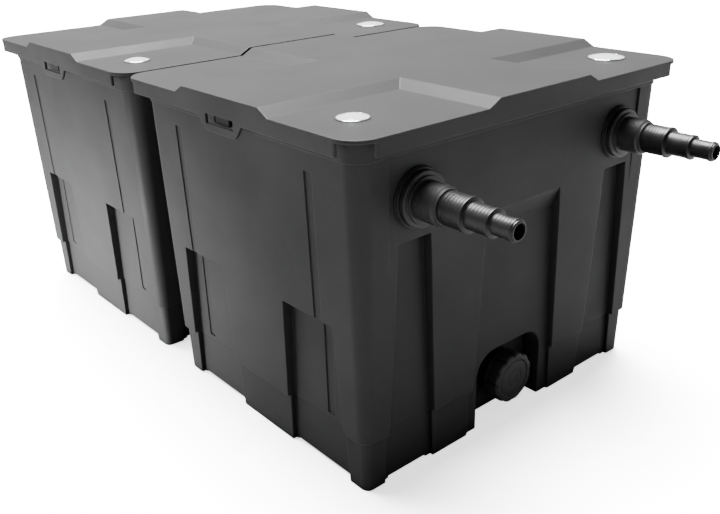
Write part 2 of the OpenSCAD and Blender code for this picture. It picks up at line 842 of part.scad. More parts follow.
// Places a child at the drain of either box, along the outward direction of its end wall
module drain_frame(side) {
    box_frame(side) rotate([0, 0, side > 0 ? 0 : 180]) translate([0, 0, drain_z]) children();
}

module drain_spigot(side) {
    flange = alcove_back + drain_gasket_t;
    back = alcove_back - wall - nut_t - transfer_end;
    color(pipe_black) drain_frame(side)
        turned([
            [drain_bore_r, back], [drain_thread_r, back], [drain_thread_r, flange],
            [drain_flange_r, flange], [drain_flange_r, flange + drain_flange_t],
            [drain_neck_r, flange + drain_flange_t], [drain_neck_r, drain_neck_end],
            [drain_bore_r, drain_neck_end]]);
}

module inlet_drain_spigot() { drain_spigot(1); }

module outlet_drain_spigot() { drain_spigot(-1); }

module drain_spigot_gaskets() {
    color(rubber_black)
        for (side = [-1, 1])
            drain_frame(side)
                ring_x(alcove_back, alcove_back + drain_gasket_t, drain_flange_r + 1,
                       drain_thread_r + slip);
}

module drain_spigot_lock_nuts() {
    color(pipe_black)
        for (side = [-1, 1])
            drain_frame(side)
                hex_nut(alcove_back - wall - nut_t, drain_nut_r, drain_thread_r + slip);
}

module drain_cap(side) {
    r = drain_cap_d / 2;
    groove = r - cap_groove_r;
    bore = drain_neck_r + turn_fit;
    color(charcoal) drain_frame(side)
        difference() {
            turned([
                [0, cap_inner], [bore, cap_inner], [bore, cap_back], [r, cap_back],
                [r, cap_face - cap_chamfer], [r - cap_chamfer, cap_face], [groove + 1, cap_face],
                [groove, cap_face - 1], [groove - 1, cap_face], [0, cap_face]]);
            for (k = [0 : drain_cap_lobes - 1])
                rotate([k * 360 / drain_cap_lobes, 0, 0])
                    translate([cap_back - eps, 0, r + scallop_out])
                        rotate([0, 90, 0]) cylinder(h = cap_face, r = scallop_r);
        }
}

module inlet_drain_cap() { drain_cap(1); }

module outlet_drain_cap() { drain_cap(-1); }

// Flat washer that seals a cap against the end of its neck
module drain_cap_seal(side) {
    color(rubber_black) drain_frame(side)
        ring_x(drain_neck_end + 2 * slip, cap_inner - 2 * slip, drain_neck_r - eps, drain_bore_r);
}

module inlet_drain_cap_seal() { drain_cap_seal(1); }

module outlet_drain_cap_seal() { drain_cap_seal(-1); }

// ---- filter media ----

// Perforated plate on legs that holds the media above the settling space
module media_grid() {
    under = grid_top - grid_t;
    difference() {
        union() {
            rounded_plate(grid_x, grid_y, grid_corner_r, under, grid_top);
            for (x = [-150, 120], y = [-200, 0, 200])
                translate([x, y, floor_t]) cylinder(h = under - floor_t, r = grid_leg_r);
        }
        for (i = [-5 : 5], j = [-5 : 5])
            translate([i * 3 * grid_hole_r, j * 3.8 * grid_hole_r, under - 1])
                cylinder(h = grid_t + 2, r = grid_hole_r, $fn = 24);
    }
}

module inlet_media_grid() { color(pipe_black) box_frame(1) media_grid(); }

module outlet_media_grid() { color(pipe_black) box_frame(-1) rotate([0, 0, 180]) media_grid(); }

// Places a child over one of the four foam blocks, counted from the front inlet corner
module foam_frame(k) {
    sx = k % 2 == 0 ? 1 : -1;
    sy = k < 2 ? -1 : 1;
    box_frame(1)
        translate([media_mid + sx * (foam_x + foam_gap) / 2, sy * (media_y_gap + foam_y / 2), 0])
            children();
}

module foam_block(k, shade) {
    color(shade) foam_frame(k)
        difference() {
            translate([-foam_x / 2, -foam_y / 2, foam_z + 2 * slip]) cube([foam_x, foam_y, foam_h]);
            translate([0, 0, foam_z]) cylinder(h = foam_h + 2, r = foam_hole_r);
        }
}

module foam_block_1() { foam_block(0, "#3a6aa8"); }

module foam_block_2() { foam_block(1, "#3b3e44"); }

module foam_block_3() { foam_block(2, "#3b3e44"); }

module foam_block_4() { foam_block(3, "#3a6aa8"); }

// Rod with a plate under the foam, a plate on top of it and a cross grip to lift it by
module foam_puller(k) {
    foot_z = grid_top + eps;
    head_z = foam_z + foam_h + 4 * slip;
    grip_z = head_z + puller_rise;
    color("#c8461e") foam_frame(k) {
        translate([0, 0, foot_z]) linear_extrude(puller_plate) square(puller_foot, center = true);
        translate([0, 0, foot_z]) cylinder(h = grip_z - foot_z, r = puller_r);
        translate([0, 0, head_z]) linear_extrude(puller_plate) square(puller_head, center = true);
        translate([0, -grip_half, grip_z]) rotate([-90, 0, 0]) cylinder(h = 2 * grip_half, r = puller_r);
    }
}

module foam_puller_1() { foam_puller(0); }

module foam_puller_2() { foam_puller(1); }

module foam_puller_3() { foam_puller(2); }

module foam_puller_4() { foam_puller(3); }

module filter_mat(z, shade) {
    half = media_y1 + mat_margin;
    color(shade) box_frame(-1)
        translate([media_x0, -half, z]) cube([media_x1 - media_x0, 2 * half, mat_t]);
}

module coarse_mat() { filter_mat(grid_top + eps, "#2f6f6a"); }

module fine_mat() { filter_mat(grid_top + 1 + mat_t, "#2c2e30"); }

// Places a child over the front (-1) or rear (+1) basket
module basket_frame(sy) {
    box_frame(-1)
        translate([media_mid, sy * (media_y_gap + basket_y / 2), 0]) children();
}

module media_basket(sy) {
    slot_tall = basket_h - 2 * slot_margin;
    slot_z = basket_z + basket_h / 2;
    color(pipe_black) basket_frame(sy)
        difference() {
            union() {
                translate([-basket_x / 2, -basket_y / 2, basket_z]) cube([basket_x, basket_y, basket_h]);
                translate([-basket_x / 2, -ear_half, basket_z])
                    cube([basket_x, 2 * ear_half, basket_h + ear_rise]);
            }
            translate([-basket_x / 2 + basket_wall, -basket_y / 2 + basket_wall, basket_z + basket_wall])
                cube([basket_x - 2 * basket_wall, basket_y - 2 * basket_wall, basket_h + ear_rise]);
            translate([-basket_x / 2 - eps, 0, pivot_z])
                rotate([0, 90, 0]) cylinder(h = basket_x + 2 * eps, r = pivot_r);
            for (i = [-5 : 5], j = [-3 : 3])
                translate([i * slot_pitch, j * slot_pitch, basket_z - eps])
                    cube([0.65 * slot_pitch, 0.45 * slot_pitch, 4 * basket_wall], center = true);
            for (i = [-5 : 5])
                translate([i * slot_pitch, 0, slot_z])
                    cube([slot_pitch / 2, basket_y + 2, slot_tall], center = true);
            for (j = [-3, -2, -1, 1, 2, 3])
                translate([0, j * (slot_pitch + 2), slot_z])
                    cube([basket_x + 2, slot_pitch / 2, slot_tall], center = true);
        }
}

module media_basket_front() { media_basket(-1); }

module media_basket_rear() { media_basket(1); }

// Bail handle folded down along the rim, on two pivot pins through the basket's ears
module basket_handle(sy) {
    arm_x = basket_x / 2 + eps;
    pin_in = basket_wall + pivot_r;
    color("#c8461e") basket_frame(sy) translate([0, 0, pivot_z]) {
        both_x() {
            translate([arm_x - pin_in, 0, 0])
                rotate([0, 90, 0]) cylinder(h = pin_in + 1, r = pivot_r - turn_fit);
            translate([arm_x, 0, 0]) rotate([0, 90, 0]) cylinder(h = bail_t, r = bail_eye_r);
            translate([arm_x, 0, -pivot_r]) cube([bail_t, bail_reach, 2 * pivot_r]);
        }
        translate([-arm_x - bail_t, bail_reach, 0])
            rotate([0, 90, 0]) cylinder(h = 2 * (arm_x + bail_t), r = pivot_r);
    }
}

module basket_handle_front() { basket_handle(-1); }

module basket_handle_rear() { basket_handle(1); }

// Two layers of balls lying in a basket
module bio_balls(sy) {
    pitch = ball_d + ball_gap;
    columns = floor((basket_x - 2 * basket_wall) / pitch);
    rows = floor((basket_y - 2 * basket_wall) / pitch);
    color("#2b5f9e") basket_frame(sy)
        for (layer = [0, 1], i = [0 : columns - 1], j = [0 : rows - 1])
            translate([(i - (columns - 1) / 2) * pitch, (j - (rows - 1) / 2) * pitch,
                       basket_z + basket_wall + ball_d / 2 + 2 * slip + layer * pitch])
                sphere(ball_d / 2);
}

module bio_balls_front() { bio_balls(-1); }

module bio_balls_rear() { bio_balls(1); }

inlet_tub();
outlet_tub();
inlet_lid();
outlet_lid();
inlet_lid_seal();
outlet_lid_seal();
inlet_window_front();
inlet_window_rear();
outlet_window_front();
outlet_window_rear();
inlet_window_rings();
outlet_window_rings();
dirt_indicator_float();
flow_indicator_float();
level_indicator_float();
dirt_indicator_guide();
flow_indicator_guide();
level_indicator_guide();
thermometer_dial();
thermometer_probe();
inlet_hose_tail_front();
inlet_hose_tail_rear();
inlet_tail_gaskets();
inlet_tail_lock_nuts();
outlet_pipe_front();
outlet_pipe_rear();
outlet_pipe_gaskets();
outlet_pipe_lock_nuts();
transfer_pipe_front();
transfer_pipe_rear();
transfer_pipe_seals();
transfer_pipe_lock_nuts();
inlet_drain_spigot();
outlet_drain_spigot();
drain_spigot_gaskets();
drain_spigot_lock_nuts();
inlet_drain_cap();
inlet_drain_cap_seal();
outlet_drain_cap();
outlet_drain_cap_seal();
inlet_media_grid();
outlet_media_grid();
foam_block_1();
foam_block_2();
foam_block_3();
foam_block_4();
foam_puller_1();
foam_puller_2();
foam_puller_3();
foam_puller_4();
coarse_mat();
fine_mat();
media_basket_front();
media_basket_rear();
basket_handle_front();
basket_handle_rear();
bio_balls_front();
bio_balls_rear();
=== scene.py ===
"""Looks of the two-chamber pond filter: moulded charcoal plastic, ribbed hose tails and filter media."""
import json
import math
import random

import bmesh
import bpy
from mathutils import Euler, Matrix, Vector, noise

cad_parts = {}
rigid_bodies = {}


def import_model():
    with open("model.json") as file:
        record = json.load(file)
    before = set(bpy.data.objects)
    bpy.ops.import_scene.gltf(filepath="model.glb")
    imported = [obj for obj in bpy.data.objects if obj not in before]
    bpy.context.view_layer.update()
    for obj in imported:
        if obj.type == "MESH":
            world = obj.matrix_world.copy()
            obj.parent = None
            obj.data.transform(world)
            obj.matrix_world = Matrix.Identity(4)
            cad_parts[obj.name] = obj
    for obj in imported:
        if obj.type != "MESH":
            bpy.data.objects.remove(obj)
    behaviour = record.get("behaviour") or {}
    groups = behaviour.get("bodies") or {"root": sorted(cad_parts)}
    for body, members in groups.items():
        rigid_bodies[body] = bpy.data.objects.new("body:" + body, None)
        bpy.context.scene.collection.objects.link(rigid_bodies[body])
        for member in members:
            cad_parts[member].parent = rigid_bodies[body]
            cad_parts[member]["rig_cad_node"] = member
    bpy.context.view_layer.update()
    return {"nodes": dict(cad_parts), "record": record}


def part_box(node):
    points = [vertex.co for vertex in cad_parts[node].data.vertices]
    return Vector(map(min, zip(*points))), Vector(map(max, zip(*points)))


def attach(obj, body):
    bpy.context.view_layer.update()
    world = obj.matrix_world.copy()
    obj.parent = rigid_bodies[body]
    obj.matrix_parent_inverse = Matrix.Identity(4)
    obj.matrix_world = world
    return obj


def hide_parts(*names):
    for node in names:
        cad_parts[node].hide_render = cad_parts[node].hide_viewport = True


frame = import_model()
nodes = frame["nodes"]

MM = 0.001                      # outlines are in millimetres, meshes in metres
SEED = 7


# ---- shader helpers ----

class Shader:
    """A material's node tree, with short calls for the nodes that the materials share."""

    def __init__(self, name):
        self.material = bpy.data.materials.new(name)
        self.material.use_nodes = True
        self.tree = self.material.node_tree
        self.bsdf = self.tree.nodes["Principled BSDF"]
        self.coords = self.tree.nodes.new("ShaderNodeTexCoord").outputs["Object"]

    def set(self, **values):
        for key, value in values.items():
            self.bsdf.inputs[key.replace("_", " ")].default_value = value
        return self

    def link(self, output, target):
        self.tree.links.new(output, target)

    def noise(self, scale, detail=3.0, roughness=0.5, stretch=(1, 1, 1)):
        node = self.tree.nodes.new("ShaderNodeTexNoise")
        node.inputs["Scale"].default_value = scale
        node.inputs["Detail"].default_value = detail
        node.inputs["Roughness"].default_value = roughness
        mapping = self.tree.nodes.new("ShaderNodeMapping")
        mapping.inputs["Scale"].default_value = stretch
        self.link(self.coords, mapping.inputs["Vector"])
        self.link(mapping.outputs["Vector"], node.inputs["Vector"])
        return node.outputs["Fac"]

    def cells(self, scale, feature="F1"):
        node = self.tree.nodes.new("ShaderNodeTexVoronoi")
        node.feature = feature
        node.inputs["Scale"].default_value = scale
        self.link(self.coords, node.inputs["Vector"])
        return node.outputs["Distance"]

    def remap(self, value, low, high, to_low, to_high):
        node = self.tree.nodes.new("ShaderNodeMapRange")
        node.inputs["From Min"].default_value = low
        node.inputs["From Max"].default_value = high
        node.inputs["To Min"].default_value = to_low
        node.inputs["To Max"].default_value = to_high
        self.link(value, node.inputs["Value"])
        return node.outputs["Result"]

    def mix(self, factor, first, second):
        node = self.tree.nodes.new("ShaderNodeMix")
        node.data_type = "RGBA"
        sockets = (node.inputs[0], node.inputs[6], node.inputs[7])
        for value, socket in zip((factor, first, second), sockets):
            if isinstance(value, (tuple, float)):
                socket.default_value = value
            else:
                self.link(value, socket)
        return node.outputs[2]

    def bump(self, height, strength, distance, normal=None):
        node = self.tree.nodes.new("ShaderNodeBump")
        node.inputs["Strength"].default_value = strength
        node.inputs["Distance"].default_value = distance
        self.link(height, node.inputs["Height"])
        if normal is not None:
            self.link(normal, node.inputs["Normal"])
        return node.outputs["Normal"]

    def painted_crevice_shade(self, color, depth, darkest):
        """The colour with painted shade: darker where another surface stands closer than depth."""
        node = self.tree.nodes.new("ShaderNodeAmbientOcclusion")
        node.samples = 4
        node.inputs["Distance"].default_value = depth
        shade = self.remap(node.outputs["AO"], 0.25, 0.85, darkest, 1.0)
        dark = self.tree.nodes.new("ShaderNodeVectorMath")
        dark.operation = "SCALE"
        self.link(color, dark.inputs[0])
        self.link(shade, dark.inputs["Scale"])
        return dark.outputs["Vector"]

    def round_edges(self, radius):
        """Normals that are blended over every edge within radius, and a mask that is 1 on the edges."""
        bevel = self.tree.nodes.new("ShaderNodeBevel")
        bevel.samples = 4
        bevel.inputs["Radius"].default_value = radius
        true_normal = self.tree.nodes.new("ShaderNodeNewGeometry").outputs["Normal"]
        dot = self.tree.nodes.new("ShaderNodeVectorMath")
        dot.operation = "DOT_PRODUCT"
        self.link(bevel.outputs["Normal"], dot.inputs[0])
        self.link(true_normal, dot.inputs[1])
        return bevel.outputs["Normal"], self.remap(dot.outputs["Value"], 1.0, 0.9, 0.0, 1.0)


def rgba(grey_or_color, factor=1.0):
    """Linear colour, from one grey level or three channels, scaled by a factor."""
    color = (grey_or_color,) * 3 if isinstance(grey_or_color, float) else grey_or_color
    return tuple(min(1.0, c * factor) for c in color) + (1.0,)


GRAIN_DEPTH = 0.00012           # of the moulded texture, in metres
CREVICE_SHADE_REACH = 0.014           # how far the painted crevice shade reaches, in metres
CREVICE_SHADE_TONE = 0.10             # how much colour the painted shade leaves at a crevice's bottom
GRAIN_SHARE = 0.55              # how much of the colour is speckle


def moulded(name, color, rough, grain=1500, cloud=0.14, specular=0.5, edge=0.0018, edge_highlight=1.6):
    """Spark-textured moulded plastic: fine grain, faint flow clouds, a few rubs, paler edges painted as
    highlights and painted shade in crevices.
    """
    s = Shader(name).set(IOR=1.49)
    s.bsdf.inputs["Specular IOR Level"].default_value = specular
    rounded_normal, edges = s.round_edges(edge)
    clouds = s.noise(4.0, 4.0, 0.55)
    base = s.mix(s.remap(clouds, 0.3, 0.7, 0, 1), rgba(color, 1 - cloud), rgba(color, 1 + cloud))
    speckle = s.remap(s.noise(520.0, 3.0, 0.75), 0.36, 0.64, 0, 1)
    speckled = s.mix(speckle, rgba(color, 0.80), rgba(color, 1.22))
    grained = s.mix(GRAIN_SHARE, base, speckled)
    rubs = s.remap(s.noise(26.0, 6.0, 0.62, (1, 1, 0.45)), 0.62, 0.80, 0, 0.22)
    rubbed = s.mix(rubs, grained, rgba(color, 1.8))
    # painted highlight: the colour is lightened on edges within the bevel radius
    highlighted_edges = s.mix(edges, rubbed, rgba(color, edge_highlight))
    # painted shade: ambient occlusion darkens the colour in crevices, slots and under edges
    s.link(s.painted_crevice_shade(highlighted_edges, CREVICE_SHADE_REACH, CREVICE_SHADE_TONE), s.bsdf.inputs["Base Color"])
    s.link(s.remap(s.noise(9.0, 5.0), 0.3, 0.7, rough - 0.05, rough + 0.06), s.bsdf.inputs["Roughness"])
    fine = s.bump(s.noise(grain, 2.0, 0.7), 0.55, GRAIN_DEPTH, rounded_normal)
    pits = s.bump(s.cells(grain * 0.55), 0.28, GRAIN_DEPTH * 1.4, fine)
    waves = s.bump(s.noise(7.0, 2.0), 0.10, 0.0022, pits)
    s.link(waves, s.bsdf.inputs["Normal"])
    return s.material


def glossy(name, color, rough, wear=0.1, specular=0.5):
    """Smoother moulded plastic with a soft sheen and light handling marks."""
    s = Shader(name).set(IOR=1.5)
    s.bsdf.inputs["Specular IOR Level"].default_value = specular
    handled = s.remap(s.noise(30.0, 5.0), 0.35, 0.7, 0, 1)
    base = s.mix(handled, rgba(color, 1 - wear), rgba(color, 1 + wear))
    s.link(base, s.bsdf.inputs["Base Color"])
    marks = s.noise(70.0, 6.0, 0.6)
    s.link(s.remap(marks, 0.3, 0.75, rough - 0.06, rough + 0.12), s.bsdf.inputs["Roughness"])
    s.link(s.bump(s.noise(900.0, 3.0), 0.25, 0.00008), s.bsdf.inputs["Normal"])
    return s.material


def rubber(name):
    """Black seal rubber with a faint grey bloom."""
    s = Shader(name).set(IOR=1.5)
    bloom = s.remap(s.noise(60.0, 4.0), 0.3, 0.7, 0, 1)
    s.link(s.mix(bloom, rgba(0.006), rgba(0.014)), s.bsdf.inputs["Base Color"])
    s.bsdf.inputs["Specular IOR Level"].default_value = 0.2
    s.link(s.remap(s.noise(120.0, 4.0), 0.3, 0.7, 0.62, 0.8), s.bsdf.inputs["Roughness"])
    s.link(s.bump(s.noise(1400.0, 2.0), 0.4, 0.0001), s.bsdf.inputs["Normal"])
    return s.material


def clear_plastic(name):
    """Lens plastic, a little milky, with a faint moulding ripple; its white base is partly the lens's own
    milkiness and partly a painted reflection of the white studio.
    """
    s = Shader(name).set(IOR=1.49)
    # partly painted reflection: the white base brightens the lens as a reflection of the studio would
    s.bsdf.inputs["Base Color"].default_value = (0.80, 0.81, 0.82, 1)
    s.bsdf.inputs["Transmission Weight"].default_value = 0.62
    s.link(s.remap(s.noise(90.0, 4.0), 0.3, 0.7, 0.03, 0.09), s.bsdf.inputs["Roughness"])
    s.link(s.bump(s.noise(35.0, 3.0), 0.06, 0.0006), s.bsdf.inputs["Normal"])
    return s.material


def bright_metal(name, rough, tone, brushed=(1, 1, 1)):
    """Polished metal, with strokes along one axis where brushed stretches them."""
    s = Shader(name).set(Metallic=1.0)
    s.bsdf.inputs["Base Color"].default_value = (tone, tone, 1.03 * tone, 1)
    strokes = s.noise(220.0, 5.0, 0.6, brushed)
    s.link(s.remap(strokes, 0.3, 0.7, rough - 0.04, rough + 0.1), s.bsdf.inputs["Roughness"])
    s.link(s.bump(s.noise(500.0, 3.0, 0.5, brushed), 0.15, 0.00005), s.bsdf.inputs["Normal"])
    return s.material


def foam_material(name, color):
    """Open-pored filter foam: pores and cavities darkened as painted shade, in a rough, slightly
    translucent skeleton.
    """
    s = Shader(name).set(IOR=1.4)
    pores = s.cells(320.0)
    cavities = s.cells(150.0)
    # painted shade: the colour is darkened in pores and in larger cavities
    shade = s.mix(s.remap(pores, 0.15, 0.6, 0, 1), rgba(color, 0.16), rgba(color, 1.15))
    shaded_cavities = s.mix(s.remap(cavities, 0.1, 0.35, 0, 1), rgba(color, 0.25), shade)
    s.link(shaded_cavities, s.bsdf.inputs["Base Color"])
    s.link(s.remap(pores, 0, 1, 0.95, 0.8), s.bsdf.inputs["Roughness"])
    s.bsdf.inputs["Sheen Weight"].default_value = 0.25
    s.link(s.bump(cavities, 0.7, 0.0012, s.bump(pores, 0.8, 0.0010)), s.bsdf.inputs["Normal"])
    return s.material


def fibre_material(name, color):
    """Coarse filter mat: a tangle of stiff strands."""
    s = Shader(name).set(IOR=1.45)
    tangle = s.noise(300.0, 6.0, 0.75)
    strands = s.remap(tangle, 0.35, 0.65, 0, 1)
    s.link(s.mix(strands, rgba(color, 0.3), rgba(color, 1.3)), s.bsdf.inputs["Base Color"])
    s.link(s.remap(tangle, 0.3, 0.7, 0.75, 0.5), s.bsdf.inputs["Roughness"])
    s.link(s.bump(tangle, 0.8, 0.0012), s.bsdf.inputs["Normal"])
    return s.material


TUB = (0.0160, 0.0160, 0.0165)  # colours of the moulded plastics
LID = (0.0145, 0.0145, 0.0147)
COLLAR = (0.0100, 0.0100, 0.0105)
CAP = (0.0120, 0.0120, 0.0125)
MEDIA = (0.0200, 0.0200, 0.0215)

MATERIALS = {
    "tub_plastic": moulded("tub_plastic", TUB, 0.58, specular=0.13, edge=0.0022),
    "lid_plastic": moulded("lid_plastic", LID, 0.50, 1700, cloud=0.10, specular=0.12, edge=0.0017,
                           edge_highlight=2.4),
    "pipe_plastic": glossy("pipe_plastic", (0.0042, 0.0042, 0.0045), 0.38, specular=0.22),
    "collar_plastic": moulded("collar_plastic", COLLAR, 0.50, 2200, cloud=0.1, specular=0.24,
                              edge=0.0006),
    "cap_plastic": moulded("cap_plastic", CAP, 0.50, 2000, cloud=0.1, specular=0.22, edge=0.0008),
    "rubber": rubber("rubber"),
    "clear_plastic": clear_plastic("clear_plastic"),
    "ring_metal": bright_metal("ring_metal", 0.12, 0.50),
    "float_red": glossy("float_red", (0.25, 0.010, 0.0075), 0.32, 0.08),
    "float_white": glossy("float_white", (0.62, 0.63, 0.64), 0.32, 0.04),
    "float_cream": glossy("float_cream", (0.60, 0.57, 0.46), 0.34, 0.05),
    "dial_white": glossy("dial_white", (0.55, 0.55, 0.53), 0.4, 0.03),
    "dial_dark": glossy("dial_dark", (0.012, 0.012, 0.0132), 0.35),
    "steel": bright_metal("steel", 0.26, 0.62, (1, 1, 0.04)),
    "foam_blue": foam_material("foam_blue", (0.05, 0.17, 0.50)),
    "foam_dark": foam_material("foam_dark", (0.040, 0.044, 0.056)),
    "mat_green": fibre_material("mat_green", (0.04, 0.22, 0.19)),
    "mat_dark": fibre_material("mat_dark", (0.028, 0.030, 0.034)),
    "media_plastic": moulded("media_plastic", MEDIA, 0.46, 1800, cloud=0.08, specular=0.3, edge=0.0008),
    "handle_orange": glossy("handle_orange", (0.62, 0.105, 0.015), 0.38, 0.06),
    "ball_blue": glossy("ball_blue", (0.032, 0.14, 0.44), 0.42, 0.12),
}


def paint(obj, material):
    """Gives a piece one of the materials above, which are named after the record's slots."""
    obj.data.materials.clear()
    obj.data.materials.append(MATERIALS[material])


# ---- CAD nodes: finish and softened edges ----

def soften(obj, width, angle=24):
    """Rounds the edges of a CAD node as a mould would, or only keeps them crisp where width is 0."""
    weld = obj.modifiers.new("weld", "WELD")
    weld.merge_threshold = 0.00002
    flat = obj.modifiers.new("flat", "DECIMATE")
    flat.decimate_type = "DISSOLVE"
    flat.angle_limit = math.radians(0.4)
    if width > 0:
        bevel = obj.modifiers.new("bevel", "BEVEL")
        bevel.width = width
        bevel.segments = 2
        bevel.limit_method = "ANGLE"
        bevel.angle_limit = math.radians(angle)
        bevel.harden_normals = False
        bevel.use_clamp_overlap = False
    else:
        split = obj.modifiers.new("split", "EDGE_SPLIT")
        split.split_angle = math.radians(angle)
    normals = obj.modifiers.new("normals", "WEIGHTED_NORMAL")
    normals.keep_sharp = False
    for polygon in obj.data.polygons:
        polygon.use_smooth = True


EDGE_WIDTH = {"inlet_tub": 0, "outlet_tub": 0, "inlet_lid": 1.0, "outlet_lid": 1.0}
OTHER_EDGES = 0.35              # width for the other nodes, in millimetres


def finish_cad_nodes():
    slots = {part["node"]: part["material_slot"] for part in frame["record"]["subparts"]}
    for name, obj in nodes.items():
        paint(obj, slots[name])
    for name, obj in nodes.items():
        soften(obj, EDGE_WIDTH.get(name, OTHER_EDGES) * MM)


finish_cad_nodes()


# ---- mesh helpers ----

SHARP_FROM = 50                 # edges that turn more than this stay sharp in shading, in degrees


def add_piece(name, verts, faces, material, body, replaces=()):
    """Makes a smooth-shaded piece from points in metres in the row frame, and lets it ride on a body."""
    mesh = bpy.data.meshes.new(name)
    mesh.from_pydata([tuple(v) for v in verts], [], faces)
    work = bmesh.new()
    work.from_mesh(mesh)
    bmesh.ops.remove_doubles(work, verts=work.verts, dist=0.000002)
    bmesh.ops.recalc_face_normals(work, faces=work.faces)
    for face in work.faces:
        face.smooth = True
    work.to_mesh(mesh)
    work.free()
    mesh.set_sharp_from_angle(angle=math.radians(SHARP_FROM))
    obj = bpy.data.objects.new(name, mesh)
    bpy.context.scene.collection.objects.link(obj)
    paint(obj, material)
    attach(obj, body)
    if replaces:
        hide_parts(*replaces)
    return obj


def centre_of(node):
    low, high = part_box(node)
    return (Vector(low) + Vector(high)) / 2


def frame_along(axis):
    """Two unit vectors across an axis."""
    axis = Vector(axis).normalized()
    across = Vector((0, 0, 1)) if abs(axis.z) < 0.5 else Vector((0, 1, 0))
    return axis, across.cross(axis).normalized(), across


def rounded(points, radius, steps=3):
    """A closed outline with each corner turned into a small arc."""
    outline = []
    for i, corner in enumerate(points):
        here = Vector(corner)
        before = Vector(points[i - 1]) - here
        after = Vector(points[(i + 1) % len(points)]) - here
        start = here + before.normalized() * min(radius, 0.45 * before.length)
        end = here + after.normalized() * min(radius, 0.45 * after.length)
        for k in range(steps + 1):
            t = k / steps
            outline.append(start * (1 - t) ** 2 + here * (2 * t * (1 - t)) + end * t ** 2)
    return outline


def turned(outline, origin, axis, segments=96, swell=None):
    """A closed outline of (radius, distance along axis) in millimetres, spun round an axis."""
    along, u, v = frame_along(axis)
    verts = []
    for radius, s in outline:
        for k in range(segments):
            angle = 2 * math.pi * k / segments
            r = radius + (swell(angle, radius, s) if swell else 0)
            ring = u * math.cos(angle) + v * math.sin(angle)
            verts.append(Vector(origin) + (along * s + ring * max(r, 0)) * MM)
    count = len(outline)
    faces = []
    for i in range(count):
        j = (i + 1) % count
        if outline[i][0] <= 0 and outline[j][0] <= 0:
            continue
        for k in range(segments):
            m = (k + 1) % segments
            faces.append((i * segments + k, i * segments + m, j * segments + m, j * segments + k))
    return verts, faces


def lathe(name, points, origin, axis, material, body, radius=0.4, segments=96, swell=None, replaces=()):
    """A piece turned from an outline whose corners are rounded by radius."""
    outline = rounded(points, radius) if radius else [Vector(p) for p in points]
    outline = [Vector((max(p[0], 0), p[1])) for p in outline]
    verts, faces = turned(outline, origin, axis, segments, swell)
    return add_piece(name, verts, faces, material, body, replaces)


def ribs(radius, start, end, pitch, height):
    """Outline points of fine ridges round a pipe from start to end."""
    count = int((end - start) / pitch)
    points = []
    for k in range(count):
        s = start + k * (end - start) / count
        step = (end - start) / count
        points += [(radius, s + 0.10 * step), (radius + height, s + 0.35 * step)]
        points += [(radius + height, s + 0.65 * step), (radius, s + 0.90 * step)]
    return points


def join_parts(parts):
    """Several (points, faces) as one."""
    verts, faces = [], []
    for part_verts, part_faces in parts:
        first = len(verts)
        verts += part_verts
        faces += [tuple(first + i for i in face) for face in part_faces]
    return verts, faces


def rounded_block(low, high, edge, spacing, rough=0.0, seed=0):
    """Points and faces of a block with rounded edges and, where rough is set, an uneven surface."""
    low, high = Vector(low), Vector(high)
    counts = [max(2, round((high[i] - low[i]) / spacing)) for i in range(3)]
    inner_low = low + Vector((edge,) * 3)
    inner_high = high - Vector((edge,) * 3)
    index = {}
    verts = []

    def vertex(cell):
        if cell in index:
            return index[cell]
        flat = Vector([low[i] + (high[i] - low[i]) * cell[i] / counts[i] for i in range(3)])
        core = Vector([min(max(flat[i], inner_low[i]), inner_high[i]) for i in range(3)])
        out = (flat - core).normalized()
        sink = rough * (0.5 + 0.5 * noise.noise(flat / (2.2 * spacing) + Vector((seed, seed, 0))))
        verts.append(core + out * (edge - sink))
        index[cell] = len(verts) - 1
        return index[cell]

    faces = []
    for axis in range(3):
        a, b = [i for i in range(3) if i != axis]
        for level in (0, counts[axis]):
            for i in range(counts[a]):
                for j in range(counts[b]):
                    corners = []
                    for di, dj in ((0, 0), (1, 0), (1, 1), (0, 1)):
                        cell = [0, 0, 0]
                        cell[axis], cell[a], cell[b] = level, i + di, j + dj
                        corners.append(vertex(tuple(cell)))
                    faces.append(tuple(corners))
    return verts, faces


# ---- hose tails, outlet pipes and drain caps ----

TAIL_REACH = 142                # the tails stand out from their seats by this, in millimetres
TAIL_LIPS = ((20.0, 80), (16.0, 112), (12.5, 139))  # radius of each step, and where it ends
LIP_HEIGHT = 0.8                # of the sealing lip at the end of each step
LIP_WIDTH = 3.5
PIPE_REACH = 143                # the outlet pipes stand out from their seats by this
CAP_LOBES = 12


